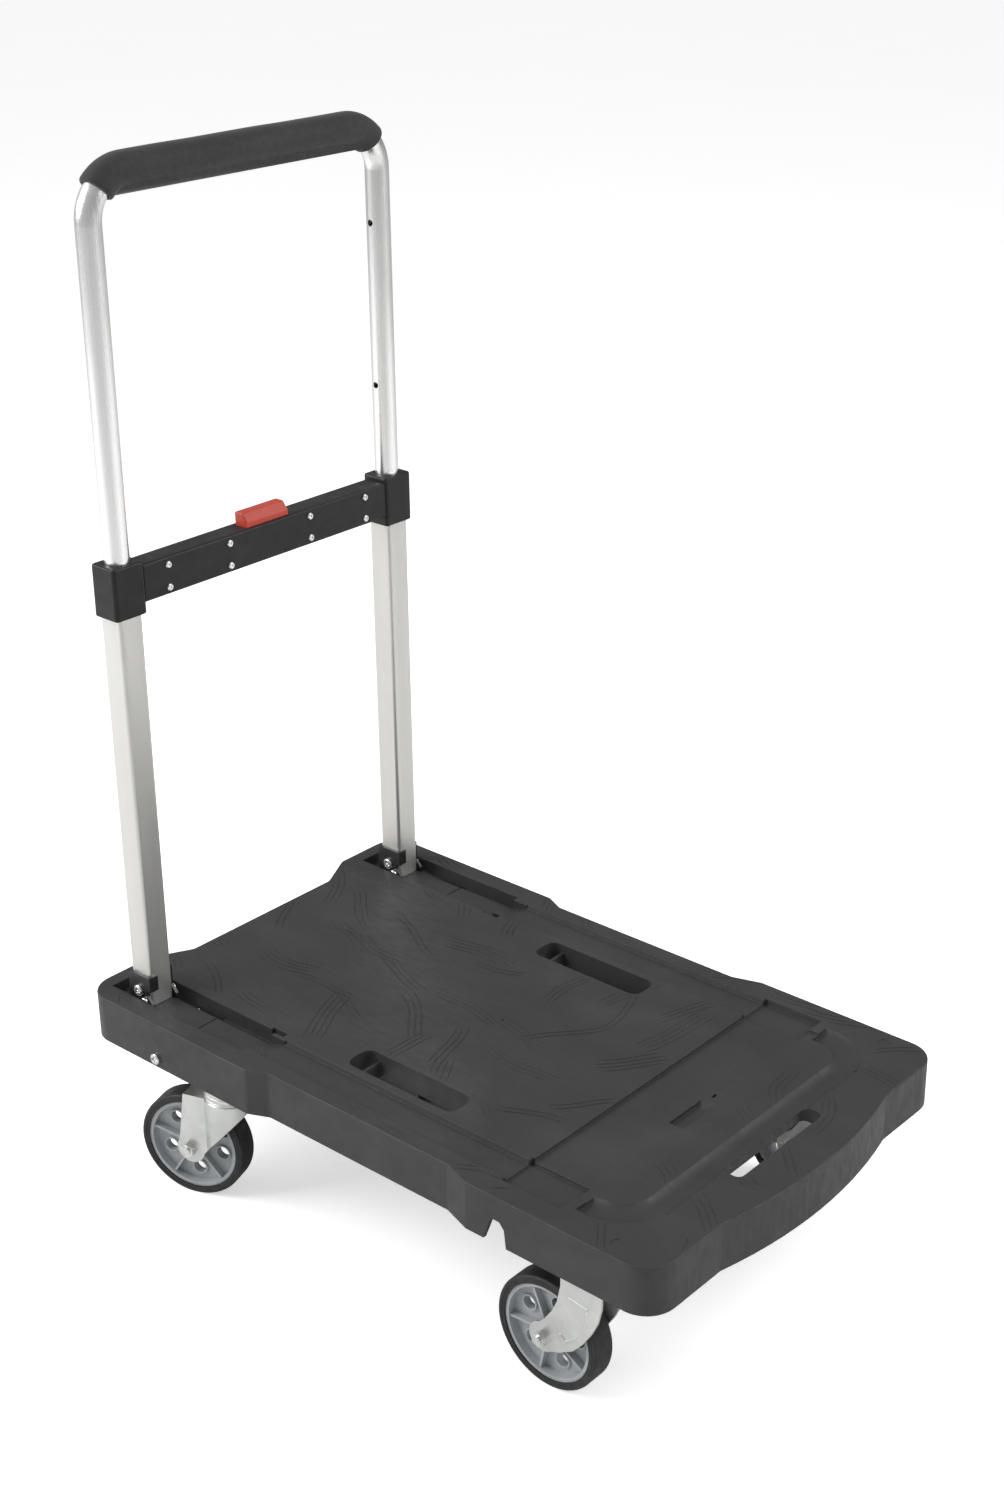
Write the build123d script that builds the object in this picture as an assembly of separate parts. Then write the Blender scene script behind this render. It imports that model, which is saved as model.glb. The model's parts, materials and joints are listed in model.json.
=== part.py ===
from build123d import *
import math
import os

# Folding platform cart: moulded deck, four casters, folding and telescoping handle.
# Frame: millimetres, +X forward (away from the handle), +Y left, +Z up.
# The origin is on the floor under the middle of the deck.
# Every piece is written to parts/NODE.step in its own place.

# ---- platform -------------------------------------------------------------------------
DECK_LENGTH = 665.0          # back edge to the front corners
DECK_BOW = 15.0              # how far the front edge bows out past its corners
DECK_WIDTH = 411.0
SKIRT_HEIGHT = 45.0
SKIRT_WALL = 3.5
SKIN = 5.0                   # load face thickness away from the recesses
TRAY_DEPTH = 14.0            # underside of the recess trays below the load face
RIB_WALL = 3.0
RIB_PITCH_X = 70.0
RIB_PITCH_Y = 50.0
RIB_LIFT = 2.0               # ribs stop this far above the skirt's lower edge
CORNER_RADIUS = 28.0
STEP_RADIUS = 9.0            # blend where the outline steps in
EDGE_RADIUS = 1.6
BACK_INDENT = 20.0
BACK_INDENT_HALF = 90.0
BACK_INDENT_RUN = 38.0
SIDE_INDENT = 9.0
SIDE_INDENT_START = 215.0    # from the back edge
SIDE_INDENT_END = 445.0
SIDE_INDENT_RUN = 20.0
SIDE_INDENT_FRONT_RUN = 28.0
BOW_HALF = 118.0

# ---- legs, hinge and handle -----------------------------------------------------------
LEG_SETBACK = 47.7           # leg centre from the back edge
LEG_INSET = 41.5             # leg centre in from the deck's side
LEG_SIZE = 25.4
LEG_WALL = 1.2
LEG_CORNER = 3.0
LEG_FOOT_DROP = 9.0          # leg end below the load face
PIVOT_SETBACK = 96.5         # fold axis from the back edge
PIVOT_DROP = 36.0            # fold axis below the load face
TUBE_DIAMETER = 22.0
TUBE_WALL = 1.2
TUBE_BEND = 39.0
TUBE_TAIL = 330.0            # tube's lower end above the load face, handle extended
GRIP_HEIGHT = 740.5          # grip axis above the load face, handle extended
GRIP_DIAMETER = 31.0
GRIP_BEND_ANGLE = 48.0       # how far the grip reaches round each bend
LOCK_DROPS = (236.8, 86.7)   # upper lock holes below the grip axis
ARM_THICKNESS = 3.0
ARM_RISE = 21.5              # arm top above the load face
ARM_BOSS_RADIUS = 9.0
AXLE_RADIUS = 4.0
FOLD_AXLE_HEAD = 5.5
BOLT_HEAD_HEIGHT = 3.2
BOSS_LENGTH = 9.0            # deck block each side of the arms that carries the fold axle
NUT_HEIGHT = 6.5
RUNNING_FIT = 0.05           # radial, axle in bore
SLIDING_GAP = 0.35           # moving plastic on tube
MOVING_GAP = 0.6             # clearance between parts that pass each other

# ---- crossbar, sleeves and release ----------------------------------------------------
SLEEVE_BOTTOM = 369.5        # above the load face
SLEEVE_TOP = 417.0
SLEEVE_CORNER = 3.5
SLEEVE_WALL_X = 2.3
SLEEVE_WALL_Y = 4.3
BUSH_DEPTH = 7.0             # the leg ends this far below the sleeve's top
BUSH_LIP = 2.0               # sleeve left over the guide bush
BAR_BOTTOM = 378.5
BAR_TOP = 413.0
BAR_SETBACK = (1.5, 5.0)     # bar faces behind the sleeve's front and back faces
BAR_WALL = 2.2
RIVET_MIDDLE = 49.0          # inner rivets from the cart's centre plane
RIVET_END = 27.0             # outer rivets from the bar's ends
RIVET_INSET = (6.7, 7.2)     # from the bar's bottom and top edge
RIVET_RADIUS = 1.6
RIVET_HEAD = 3.3
RIVET_HEIGHT = 1.6
PIN_HEIGHT = 393.0           # lock pin axis above the load face
PIN_RADIUS = 2.5
PIN_TRAVEL = 6.0
LOCK_HOLE_ROOM = 0.5
PIN_END_GAP = 0.4            # from the pin's tip to the tube
BUTTON_LENGTH = 50.0
BUTTON_DEPTH = 16.0
BUTTON_SETBACK = 3.0         # button's front face behind the bar's
BUTTON_SKIRT = 4.0           # part of the button inside the bar
BUTTON_RISE = 12.0
BUTTON_TRAVEL = 7.0
STUD_RADIUS = 2.0
STUD_Y = 17.0                # follower studs from the cart's centre plane, at rest
CAM_THICKNESS = 2.3
CAM_SETBACK = 3.2            # cam plate's front face behind the leg axis
SPIGOT_RADIUS = 2.6
SPRING_RADIUS = 4.6
SPRING_WIRE = 0.6
SPRING_TURNS = 7

# ---- wheels and casters ---------------------------------------------------------------
WHEEL_DIAMETER = 105.0
WHEEL_WIDTH = 23.0
TREAD_THICKNESS = 7.5
HUB_WINDOW_RADIUS = 6.2
HUB_TURN = {"front": -41.0, "rear": -22.0}   # how each pair of hubs stands at rest
AXLE_BOLT_RADIUS = 4.0
BUSH_RADIUS = 6.5
BOSS_RADIUS = 11.5
FORK_GAP = 27.0              # between the inner faces of a fork
FORK_PLATE = 2.5
FORK_END_RADIUS = 14.0
FORK_FOLD = 18.6             # axle to where the swivel fork's legs turn into the crown
EMBOSS_RADIUS = 1.1
CROWN_ROOM = 2.5             # wheel to the underside of the crown
CASTER_PLATE = 3.0
PLATE_LENGTH = 88.0
PLATE_WIDTH = 66.0
FLANGE_LENGTH = 84.0         # rigid fork's top flange
FLANGE_MARGIN = (10.5, 24.0) # flange past the outer and the inner fork plate
PLATE_SCREW = (32.0, 28.0)   # swivel plate's screws from the swivel axis
FLANGE_SCREW = (33.0, 5.0, 8.5)   # along from the middle, in from the outer and inner edge
SCREW_RADIUS = 2.6
SCREW_HEAD = 4.5
SCREW_LENGTH = 19.0
MOUNT_LIFT = 2.0             # mounting pads above the skirt's lower edge
FRONT_WHEEL_SETBACK = 123.0  # front axle behind the front corners
FRONT_WHEEL_INSET = 30.5     # front wheels in from the deck's side
REAR_PIVOT_SETBACK = 151.0   # swivel axes ahead of the back edge
REAR_PIVOT_INSET = 37.5
REAR_TRAIL = 38.0
REAR_REST_YAW = 18.5         # both rear casters stand turned by this much
RACE_RADIUS = 24.0
RACE_STACK = 24.0            # height of both races together
KINGPIN_RADIUS = 5.2

# ---- hand slots and small deck features -----------------------------------------------
SIDE_SLOT_X = (-67.0, 58.5)
SIDE_SLOT_INSET = (53.5, 23.5)     # slot edges from the leg's centre plane
FRONT_SLOT_SETBACK = (46.0, 25.0)  # slot edges behind the front corners
FRONT_SLOT_HALF = 60.0
SIDE_SLOT_CORNER = 10.0
FRONT_SLOT_CORNER = 6.0
SLOT_WALL = 3.0
SLOT_WALL_DEPTH = 24.0       # side slots' collars below the load face
HAND_ROOM = 60.0             # clear space for fingers behind the front slot
WEB_SETBACK = 12.5           # web across each side slot, from the slot's back end
WEB_DROP = 9.0
FOOT_ROOM = 0.5              # under the leg's foot, handle upright
LEG_ROOM = 4.1               # under the folded leg
SLEEVE_ROOM = 3.8            # under the folded sleeve
BAR_ROOM = 0.7               # under the folded crossbar's rivets
TROUGH_SIDE_ROOM = 1.3
TROUGH_SLOPE = 1.6           # how far the trough's side walls lean out
TROUGH_RAMP = 16.0
BAR_RECESS_RAMP = 28.0       # length of the slope from the recess up to the load face
BUTTON_RECESS_DEPTH = 7.0
BUTTON_RECESS_Y = (-31.0, 23.0)
GRIP_ROOM = 2.5              # round the folded grip
NOTCH_SETBACK = (172.0, 148.5)
NOTCH_HEIGHT = 23.0

# ---- places worked out from the sizes above -------------------------------------------
BACK_X = -(DECK_LENGTH + DECK_BOW) / 2
FRONT_X = BACK_X + DECK_LENGTH
HALF_WIDTH = DECK_WIDTH / 2
WHEEL_RADIUS = WHEEL_DIAMETER / 2
HUB_RADIUS = WHEEL_RADIUS - TREAD_THICKNESS
HUB_WINDOW_PLACE = (BOSS_RADIUS + HUB_RADIUS) / 2   # window centres from the axle
FORK_OUTER = FORK_GAP / 2 + FORK_PLATE
CASTER_MOUNT = WHEEL_DIAMETER + CROWN_ROOM + FORK_PLATE + RACE_STACK + CASTER_PLATE
SKIRT_BOTTOM = CASTER_MOUNT - MOUNT_LIFT
DECK_TOP = SKIRT_BOTTOM + SKIRT_HEIGHT        # the load face
TRAY_BOTTOM = DECK_TOP - TRAY_DEPTH
FRONT_WHEEL_X = FRONT_X - FRONT_WHEEL_SETBACK
FRONT_WHEEL_Y = HALF_WIDTH - FRONT_WHEEL_INSET
REAR_PIVOT_X = BACK_X + REAR_PIVOT_SETBACK
REAR_PIVOT_Y = HALF_WIDTH - REAR_PIVOT_INSET
LEG_X = BACK_X + LEG_SETBACK
LEG_Y = HALF_WIDTH - LEG_INSET
PIVOT_X = BACK_X + PIVOT_SETBACK
PIVOT_Z = DECK_TOP - PIVOT_DROP
FOOT_Z = DECK_TOP - LEG_FOOT_DROP
HALF_LEG = LEG_SIZE / 2
ARM_FACE = HALF_LEG + ARM_THICKNESS
SLOT_INNER = HALF_LEG - 0.5           # half width of the tongue between the arm slots
SLOT_OUTER = ARM_FACE + 5.3
NUT_FACE = LEG_Y - SLOT_OUTER - BOSS_LENGTH
LOCK_HOLES = (PIN_HEIGHT, GRIP_HEIGHT - LOCK_DROPS[0], GRIP_HEIGHT - LOCK_DROPS[1])
LOWERING = LOCK_HOLES[-1] - PIN_HEIGHT
SLEEVE_X = LEG_SIZE + 2 * SLEEVE_WALL_X
SLEEVE_Y = LEG_SIZE + 2 * SLEEVE_WALL_Y
BAR_FRONT = SLEEVE_X / 2 - BAR_SETBACK[0]     # bar faces from the leg axis
BAR_BACK = SLEEVE_X / 2 - BAR_SETBACK[1]
BAR_HALF = LEG_Y - SLEEVE_Y / 2
FOOT_BOLTS = (                                # x, z, shank radius, head radius
    (LEG_X, DECK_TOP + 5.5, 3.0, 5.6),
    (LEG_X + 7.0, DECK_TOP - 4.0, 2.5, 4.4),
)
BUSH_RING = SLEEVE_X / 2 - 1.0
BUTTON_FRONT = LEG_X + BAR_FRONT - BUTTON_SETBACK
CAM_X = (LEG_X - CAM_SETBACK - CAM_THICKNESS, LEG_X - CAM_SETBACK)
SPIGOT_X = LEG_X + 3.0
FOLDED_X = PIVOT_X + PIVOT_DROP       # where the load-face level lands along X when folded
FOLDED_Z = PIVOT_Z + PIVOT_X - LEG_X  # height of the leg axis when folded
ARM_BAY = (BACK_X + 15.5, PIVOT_X + 94.0)
ARM_BAY_DEEP = PIVOT_X + 24.0         # below the tray the arms never reach further forward
SIDE_SLOT_Y = (LEG_Y - SIDE_SLOT_INSET[0], LEG_Y - SIDE_SLOT_INSET[1])
FRONT_SLOT_X = (FRONT_X - FRONT_SLOT_SETBACK[0], FRONT_X - FRONT_SLOT_SETBACK[1])
NOTCH_X = (FRONT_X - NOTCH_SETBACK[0], FRONT_X - NOTCH_SETBACK[1])
FOOT_FLOOR = FOOT_Z - FOOT_ROOM
LEG_FLOOR = FOLDED_Z - HALF_LEG - LEG_ROOM
SLEEVE_FLOOR = FOLDED_Z - SLEEVE_X / 2 - SLEEVE_ROOM
BAR_FLOOR = FOLDED_Z - BAR_FRONT - RIVET_HEIGHT - BAR_ROOM
SIDES = {"right": -1, "left": 1}
BASE = (Align.CENTER, Align.CENTER, Align.MIN)


def block(x, y, z):
    """Box from its low and high limits along each axis."""
    size = (x[1] - x[0], y[1] - y[0], z[1] - z[0])
    return Pos((x[0] + x[1]) / 2, (y[0] + y[1]) / 2, (z[0] + z[1]) / 2) * Box(*size)


def rod(radius, start, end):
    """Round bar between two points."""
    start, end = Vector(*start), Vector(*end)
    plane = Plane(origin=start, z_dir=end - start)
    return plane * Cylinder(radius, (end - start).length, align=BASE)


def rounded_block(x, y, z, radius):
    """Upright box with its four vertical corners rounded."""
    outline = RectangleRounded(x[1] - x[0], y[1] - y[0], radius)
    return Pos((x[0] + x[1]) / 2, (y[0] + y[1]) / 2, z[0]) * extrude(outline, z[1] - z[0])


def side_plate(points, y_low, y_high):
    """Plate cut to an (x, z) outline and standing between two y values."""
    outline = make_face(Polyline(*[(x, z) for x, z in points], close=True))
    plane = Plane(origin=(0, y_high, 0), x_dir=(1, 0, 0), z_dir=(0, -1, 0))
    return plane * extrude(outline, y_high - y_low)


def bundle(shapes):
    """Several separate solids as one shape."""
    return Compound([solid for shape in shapes for solid in shape.solids()])


def mirrored(shape):
    """The shape and its image across the cart's centre plane."""
    return [shape, mirror(shape, Plane.XZ)]


# ---- deck -----------------------------------------------------------------------------
def deck_outline():
    """Plan of the deck: indented back and sides, round corners, bowed front."""
    half = [
        (BACK_X + BACK_INDENT, BACK_INDENT_HALF, STEP_RADIUS),
        (BACK_X, BACK_INDENT_HALF + BACK_INDENT_RUN, STEP_RADIUS),
        (BACK_X, HALF_WIDTH, CORNER_RADIUS),
        (BACK_X + SIDE_INDENT_START, HALF_WIDTH, STEP_RADIUS),
        (BACK_X + SIDE_INDENT_START + SIDE_INDENT_RUN, HALF_WIDTH - SIDE_INDENT, STEP_RADIUS),
        (BACK_X + SIDE_INDENT_END, HALF_WIDTH - SIDE_INDENT, STEP_RADIUS),
        (BACK_X + SIDE_INDENT_END + SIDE_INDENT_FRONT_RUN, HALF_WIDTH, STEP_RADIUS),
        (FRONT_X, HALF_WIDTH, CORNER_RADIUS),
        (FRONT_X, BOW_HALF, 0),
    ]
    corners = half + [(x, -y, radius) for x, y, radius in reversed(half)]
    face = make_face(Polyline(*[(x, y) for x, y, _ in corners], close=True))
    for radius in (CORNER_RADIUS, STEP_RADIUS):
        wanted = [Vector(x, y) for x, y, r in corners if r == radius]
        found = [v for v in face.vertices() if any((Vector(v) - w).length < 0.01 for w in wanted)]
        face = fillet(found, radius)
    bow = make_face([
        ThreePointArc((FRONT_X, -BOW_HALF), (FRONT_X + DECK_BOW, 0), (FRONT_X, BOW_HALF)),
        Line((FRONT_X, BOW_HALF), (FRONT_X, -BOW_HALF)),
    ])
    return face + bow


def deck_shell():
    """Skirt and load face, with the load face thinned between the recess trays."""
    outline = deck_outline()
    shell = Pos(0, 0, SKIRT_BOTTOM) * extrude(outline, SKIRT_HEIGHT)
    shell = fillet(shell.faces().sort_by(Axis.Z)[-1].edges(), EDGE_RADIUS)
    inside = offset(outline, -SKIRT_WALL, kind=Kind.INTERSECTION)
    cavity = Pos(0, 0, SKIRT_BOTTOM) * extrude(inside, SKIRT_HEIGHT - TRAY_DEPTH)
    panel_y = SIDE_SLOT_Y[0] - 6.5
    panel = block((BACK_X + 40, FOLDED_X + SLEEVE_BOTTOM - 22), (-panel_y, panel_y),
                  (TRAY_BOTTOM - 1, DECK_TOP - SKIN))
    return shell - cavity - panel


def rib_grid():
    """Crossed ribs under the load face, ending short of the front hand slot."""
    z = (SKIRT_BOTTOM + RIB_LIFT, DECK_TOP - SKIN)
    half, reach = RIB_WALL / 2, HALF_WIDTH - 20
    end = FRONT_SLOT_X[0] - HAND_ROOM
    ribs = []
    across = int(DECK_LENGTH / 2 / RIB_PITCH_X)
    for i in range(-across, across + 1):
        x = i * RIB_PITCH_X - 10
        if x < end:
            ribs.append(block((x - half, x + half), (-reach, reach), z))
    along = int((NUT_FACE - NUT_HEIGHT - RIB_PITCH_Y / 10) / RIB_PITCH_Y)
    for j in range(-along, along + 1):
        y = j * RIB_PITCH_Y
        ribs.append(block((BACK_X + BACK_INDENT + 1, end), (y - half, y + half), z))
    return ribs


def caster_pads():
    """Solid pads that the caster plates bolt to."""
    z = (CASTER_MOUNT, TRAY_BOTTOM + 1)
    half = PLATE_LENGTH / 2 + 2
    rear_y = REAR_PIVOT_Y - PLATE_WIDTH / 2 - 3
    front_x = FRONT_WHEEL_X + REAR_TRAIL
    front_y = FRONT_WHEEL_Y - FORK_OUTER - FLANGE_MARGIN[1] - 4
    rear = block((REAR_PIVOT_X - half, REAR_PIVOT_X + half), (rear_y, HALF_WIDTH - 2), z)
    front = block((front_x - half, front_x + half), (front_y, HALF_WIDTH - 2), z)
    return mirrored(rear) + mirrored(front)


def axle_bosses():
    """Blocks under the deck that carry the fold axles, beside and between the arms."""
    x = (PIVOT_X - 11, PIVOT_X + 11)
    z = (CASTER_MOUNT, TRAY_BOTTOM + 1)
    tongue = SLOT_INNER - MOVING_GAP
    spans = (
        (NUT_FACE, LEG_Y - SLOT_OUTER),
        (LEG_Y - tongue, LEG_Y + tongue),
        (LEG_Y + SLOT_OUTER, HALF_WIDTH - 2),
    )
    return [boss for y in spans for boss in mirrored(block(x, y, z))]


def slot_walls():
    """Collars under the side hand slots; the front slot goes through solid deck."""
    return slot_prisms((DECK_TOP - SLOT_WALL_DEPTH, DECK_TOP - SKIN), SLOT_WALL)[:2]


def hand_slots():
    """Through openings to carry the cart by."""
    return slot_prisms((SKIRT_BOTTOM - 1, DECK_TOP + 1), 0)


def slot_prisms(z, margin):
    """The two side slots and the front slot as solids, grown by a margin."""
    side_x = (SIDE_SLOT_X[0] - margin, SIDE_SLOT_X[1] + margin)
    side_y = (SIDE_SLOT_Y[0] - margin, SIDE_SLOT_Y[1] + margin)
    front_x = (FRONT_SLOT_X[0] - margin, FRONT_SLOT_X[1] + margin)
    front_y = (-FRONT_SLOT_HALF - margin, FRONT_SLOT_HALF + margin)
    side = rounded_block(side_x, side_y, z, SIDE_SLOT_CORNER + margin)
    return mirrored(side) + [rounded_block(front_x, front_y, z, FRONT_SLOT_CORNER + margin)]


def slot_web():
    """Low web that crosses each side slot near its back end."""
    x = SIDE_SLOT_X[0] + WEB_SETBACK
    return block((x - RIB_WALL / 2, x + RIB_WALL / 2), (SIDE_SLOT_Y[0] - 1, SIDE_SLOT_Y[1] + 1),
                 (DECK_TOP - SLOT_WALL_DEPTH, DECK_TOP - WEB_DROP))


def channel(x, y, floor):
    """Cutter along X with a flat floor and side walls that lean outwards."""
    low, high = y
    rise = DECK_TOP - floor
    lean = TROUGH_SLOPE * (rise + 1) / rise
    profile = [(low, floor), (high, floor), (high + lean, DECK_TOP + 1), (low - lean, DECK_TOP + 1)]
    outline = make_face(Polyline(*profile, close=True))
    return Plane(origin=(x[0], 0, 0), x_dir=(0, 1, 0), z_dir=(1, 0, 0)) * extrude(outline, x[1] - x[0])


def leg_troughs():
    """Troughs that the folded legs and sleeves drop into, deepest round the legs' feet."""
    half, pocket_half = HALF_LEG + TROUGH_SIDE_ROOM, SLEEVE_Y / 2 + TROUGH_SIDE_ROOM
    pocket_x = (FOLDED_X + SLEEVE_BOTTOM - 9, FOLDED_X + SLEEVE_TOP + 5)
    deep_end = ARM_BAY[1] + 2
    foot = [(ARM_BAY[0], FOOT_FLOOR), (deep_end, FOOT_FLOOR), (deep_end + TROUGH_RAMP, LEG_FLOOR),
            (deep_end + TROUGH_RAMP, DECK_TOP + 1), (ARM_BAY[0], DECK_TOP + 1)]
    cuts = mirrored(side_plate(foot, LEG_Y - half, LEG_Y + half))
    run = (deep_end + TROUGH_RAMP - 1, pocket_x[0] + 1)
    cuts += mirrored(channel(run, (LEG_Y - half, LEG_Y + half), LEG_FLOOR))
    cuts += mirrored(channel(pocket_x, (LEG_Y - pocket_half, LEG_Y + pocket_half), SLEEVE_FLOOR))
    return cuts


def bar_recess():
    """Shallow recess for the folded crossbar, with a slope in front and a well for the button."""
    top = DECK_TOP + 1
    back, front = FOLDED_X + SLEEVE_BOTTOM - 7, FOLDED_X + BAR_TOP + 3
    ramp = front + BAR_RECESS_RAMP
    slope = [(back, top), (back, BAR_FLOOR), (front, BAR_FLOOR), (ramp, DECK_TOP), (ramp, top)]
    recess = side_plate(slope, -LEG_Y, LEG_Y)
    y0, y1 = BUTTON_RECESS_Y
    floor = DECK_TOP - BUTTON_RECESS_DEPTH
    outline = make_face(Polyline((y0, top), (y0 + 2, floor), (y1 - 14, floor), (y1, top), close=True))
    well_x = FOLDED_X + BAR_TOP - 1
    across = Plane(origin=(well_x, 0, 0), x_dir=(0, 1, 0), z_dir=(1, 0, 0))
    well = across * extrude(outline, BUTTON_RISE + 4)
    catch = block((well_x + 4, well_x + 7), (y1 + 1, y1 + 7), (floor, top))
    return [recess, well, catch]


def u_path(place, low, top):
    """Centre line along one leg, round a bend, across, and back along the other leg."""
    half, start = LEG_Y - TUBE_BEND, top - TUBE_BEND
    reach = TUBE_BEND * math.sin(math.pi / 4)
    return Wire([
        Edge.make_line(place(low, -LEG_Y), place(start, -LEG_Y)),
        Edge.make_three_point_arc(
            place(start, -LEG_Y), place(start + reach, -half - reach), place(top, -half)),
        Edge.make_line(place(top, -half), place(top, half)),
        Edge.make_three_point_arc(
            place(top, half), place(start + reach, half + reach), place(start, LEG_Y)),
        Edge.make_line(place(start, LEG_Y), place(low, LEG_Y)),
    ])


def grip_groove():
    """Shallow round-bottomed groove that the folded grip rests over."""
    level = FOLDED_X + GRIP_HEIGHT - LOWERING
    path = u_path(lambda along, y: (along, y, FOLDED_Z), level - TUBE_BEND - 9, level)
    section = Plane(origin=path @ 0, z_dir=path % 0) * Circle(GRIP_DIAMETER / 2 + GRIP_ROOM)
    return sweep(section, path)


def arm_slots():
    """Slots each side of the tongue, for the folding arms and their bolt heads."""
    cuts = []
    for low, high in ((-SLOT_OUTER, -SLOT_INNER), (SLOT_INNER, SLOT_OUTER)):
        y = (LEG_Y + low, LEG_Y + high)
        cuts += mirrored(block(ARM_BAY, y, (TRAY_BOTTOM - 1, DECK_TOP + 1)))
        cuts += mirrored(block((ARM_BAY[0], ARM_BAY_DEEP), y, (SKIRT_BOTTOM - 1, TRAY_BOTTOM)))
    end = (ARM_BAY[1] - 7, ARM_BAY[1] + 11)
    notch_y = (LEG_Y - SLOT_OUTER - 3, LEG_Y - SLOT_OUTER + 3)
    return cuts + mirrored(block(end, notch_y, (FOOT_FLOOR, DECK_TOP + 1)))


def small_marks():
    """Seam, gate marks, drain holes, and the notch in the skirt's lower edge."""
    seam_x, seam_y = (FOLDED_X - 12.8, FOLDED_X - 11.2), (LEG_Y - SLOT_INNER, LEG_Y + SLOT_INNER)
    marks = mirrored(block(seam_x, seam_y, (FOOT_FLOOR - 1.5, DECK_TOP)))
    marks.append(Pos(-7.5, 0, DECK_TOP) * Sphere(1.8))
    dent = Cylinder(5, 1.2, align=BASE)
    marks += mirrored(Pos(FRONT_X - 48.5, HALF_WIDTH - 16.5, DECK_TOP - 0.6) * dent)
    drain = Cylinder(1.4, 12)
    marks += mirrored(Pos(FRONT_SLOT_X[0] + 4.5, FRONT_SLOT_HALF + 74, DECK_TOP - 6) * drain)
    x, z = NOTCH_X, (SKIRT_BOTTOM - 1, SKIRT_BOTTOM + NOTCH_HEIGHT)
    notch = [(x[0] - 1, z[0]), (x[0] + 7, z[1] - 3), (x[0] + 10, z[1]),
             (x[1] - 7, z[1]), (x[1] - 2, z[1] - 6), (x[1], z[0])]
    return marks + mirrored(side_plate(notch, HALF_WIDTH - SKIRT_WALL - 6, HALF_WIDTH + 2))


def make_deck():
    """One moulding: shell, ribs, pads and bosses, less every recess, slot and bore."""
    deck = deck_shell() + rib_grid() + caster_pads() + axle_bosses() + slot_walls()
    deck = deck - leg_troughs() - bar_recess() - [grip_groove()] - arm_slots() - hand_slots()
    deck = deck + mirrored(slot_web()) - small_marks()
    reach = HALF_WIDTH + 1
    deck = deck - rod(AXLE_RADIUS + RUNNING_FIT, (PIVOT_X, -reach, PIVOT_Z), (PIVOT_X, reach, PIVOT_Z))
    return drill_screws(deck)


# ---- fold axles and arms --------------------------------------------------------------
def cross_recess(x, y, z, side, size):
    """Cutter for a screwdriver cross in a head that faces along Y."""
    depth, arm, width = 1.6, size * 0.62, size * 0.2
    y_limits = (y - depth, y + 1) if side > 0 else (y - 1, y + depth)
    cross = block((x - arm, x + arm), y_limits, (z - width, z + width))
    return cross + block((x - width, x + width), y_limits, (z - arm, z + arm))


def make_fold_axle(side):
    """Bolt across one leg's arms: domed head outside the deck, threaded end inside."""
    outer, inner = side * (HALF_WIDTH + 3.4), side * (NUT_FACE - NUT_HEIGHT - 2.5)
    face = side * HALF_WIDTH
    axle = rod(AXLE_RADIUS, (PIVOT_X, face, PIVOT_Z), (PIVOT_X, inner, PIVOT_Z))
    head = rod(FOLD_AXLE_HEAD, (PIVOT_X, face, PIVOT_Z), (PIVOT_X, outer, PIVOT_Z))
    head = fillet(head.edges().sort_by(Axis.Y)[-1 if side > 0 else 0], 1.6)
    return axle + head - cross_recess(PIVOT_X, outer, PIVOT_Z, side, FOLD_AXLE_HEAD)


def make_fold_nut(side):
    """Hexagon nut on a fold axle's inner end, against the deck's boss."""
    plane = Plane(origin=(PIVOT_X, side * NUT_FACE, PIVOT_Z), z_dir=(0, -side, 0))
    nut = plane * extrude(RegularPolygon(7.2, 6), NUT_HEIGHT)
    return nut - rod(AXLE_RADIUS, (PIVOT_X, 0, PIVOT_Z), (PIVOT_X, side * (NUT_FACE + 1), PIVOT_Z))


def make_arm(side, inner):
    """Cranked steel arm from the fold axle up beside the leg."""
    back, front = LEG_X - HALF_LEG, LEG_X + HALF_LEG
    top = DECK_TOP + ARM_RISE
    points = [
        (back - 1.5, top - 3), (back + 1.5, top), (front - 3, top), (front - 3, DECK_TOP + 2),
        (front + 4, DECK_TOP - 5), (front + 4, FOOT_Z - 6), (PIVOT_X, PIVOT_Z + ARM_BOSS_RADIUS),
        (PIVOT_X - 2, PIVOT_Z - ARM_BOSS_RADIUS + 0.6), (back - 1.5, FOOT_Z - 10),
    ]
    out = -1 if inner else 1
    low = LEG_Y * side + side * out * HALF_LEG
    high = low + side * out * ARM_THICKNESS
    arm = side_plate(points, min(low, high), max(low, high))
    arm = arm + rod(ARM_BOSS_RADIUS, (PIVOT_X, low, PIVOT_Z), (PIVOT_X, high, PIVOT_Z))
    if side * out < 0:
        arm = arm + block((front - 4, front), (min(low, high), max(low, high)), (DECK_TOP + 7, top))
        arm = arm + block((front, front + 2.2), (high, low + 7), (DECK_TOP + 7, top))
    arm = arm - rod(AXLE_RADIUS + RUNNING_FIT, (PIVOT_X, low - 5, PIVOT_Z), (PIVOT_X, high + 5, PIVOT_Z))
    for x, z, radius, _ in FOOT_BOLTS:
        arm = arm - rod(radius, (x, low - 5, z), (x, high + 5, z))
    return arm


def make_foot_bolts(side):
    """Two through bolts that clamp the arms to the leg, with domed heads at both ends."""
    bolts = []
    for x, z, radius, head in FOOT_BOLTS:
        y0, y1 = side * LEG_Y - ARM_FACE, side * LEG_Y + ARM_FACE
        shank = rod(radius, (x, y0, z), (x, y1, z))
        for y, out in ((y0, -1), (y1, 1)):
            cap = rod(head, (x, y, z), (x, y + out * BOLT_HEAD_HEIGHT, z))
            edge = cap.edges().sort_by(Axis.Y)[-1 if out > 0 else 0]
            shank = shank + fillet(edge, 1.8) - cross_recess(x, y + out * BOLT_HEAD_HEIGHT, z, out, head)
        bolts.append(shank)
    return bundle(bolts)


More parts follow.
